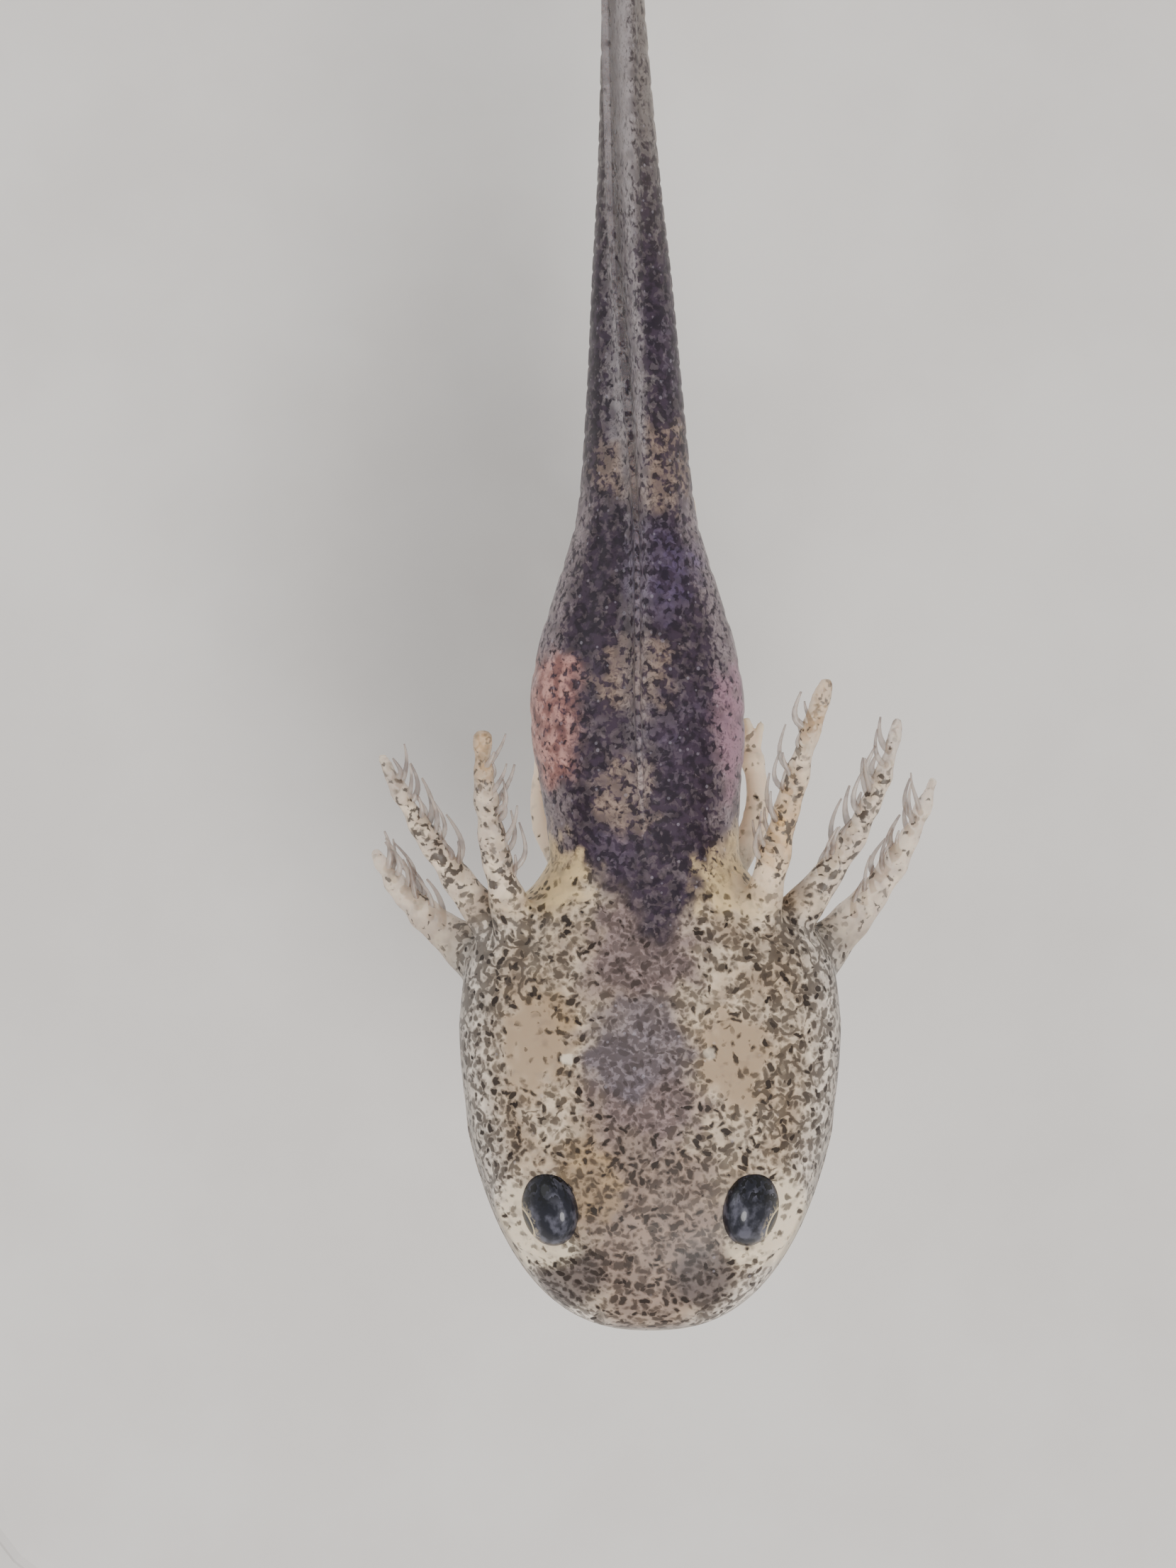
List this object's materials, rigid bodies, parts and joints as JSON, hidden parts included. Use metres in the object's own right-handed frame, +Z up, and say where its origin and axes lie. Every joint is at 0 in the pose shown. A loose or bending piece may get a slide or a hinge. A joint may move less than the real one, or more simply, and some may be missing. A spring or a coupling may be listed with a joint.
{
  "type": "axolotl larva model",
  "caption": "Life-size axolotl larva with feathery outer gills and a finned tail, hovering on rods over a plain flat stand.",
  "frame": {"origin": "centre of the stand's underside", "axes": "+Z up; -Y the way the snout points; +X the animal's left side"},
  "size_m": [0.0174, 0.0288, 0.0103],
  "materials": {
    "skin": "wet, thin and half clear, cream to tan with brown-black dots and net",
    "fin": "wet, clear film with scattered dark dots",
    "gill": "wet, half clear, cream yellow with dark clusters",
    "eye": "polished blue-black with a pale gold rim",
    "stand": "plain pale warm grey, fine matt"
  },
  "bodies": {
    "root": {"head": "skin", "lower_jaw": "skin", "eye_left": "eye", "eye_right": "eye", "trunk": "skin", "tail_root": "skin", "tail_middle": "skin", "tail_tip": "skin", "dorsal_fin_trunk": "fin", "dorsal_fin_tail": "fin", "ventral_fin": "fin", "gill_left_upper": "gill", "gill_left_middle": "gill", "gill_left_lower": "gill", "gill_right_upper": "gill", "gill_right_middle": "gill", "gill_right_lower": "gill", "foreleg_left": "skin", "foreleg_right": "skin", "forefoot_left": "skin", "forefoot_right": "skin", "hindleg_left": "skin", "hindleg_right": "skin", "stand_base": "stand", "stand_rod_front": "stand", "stand_rod_rear": "stand"}
  },
  "joints": []
}
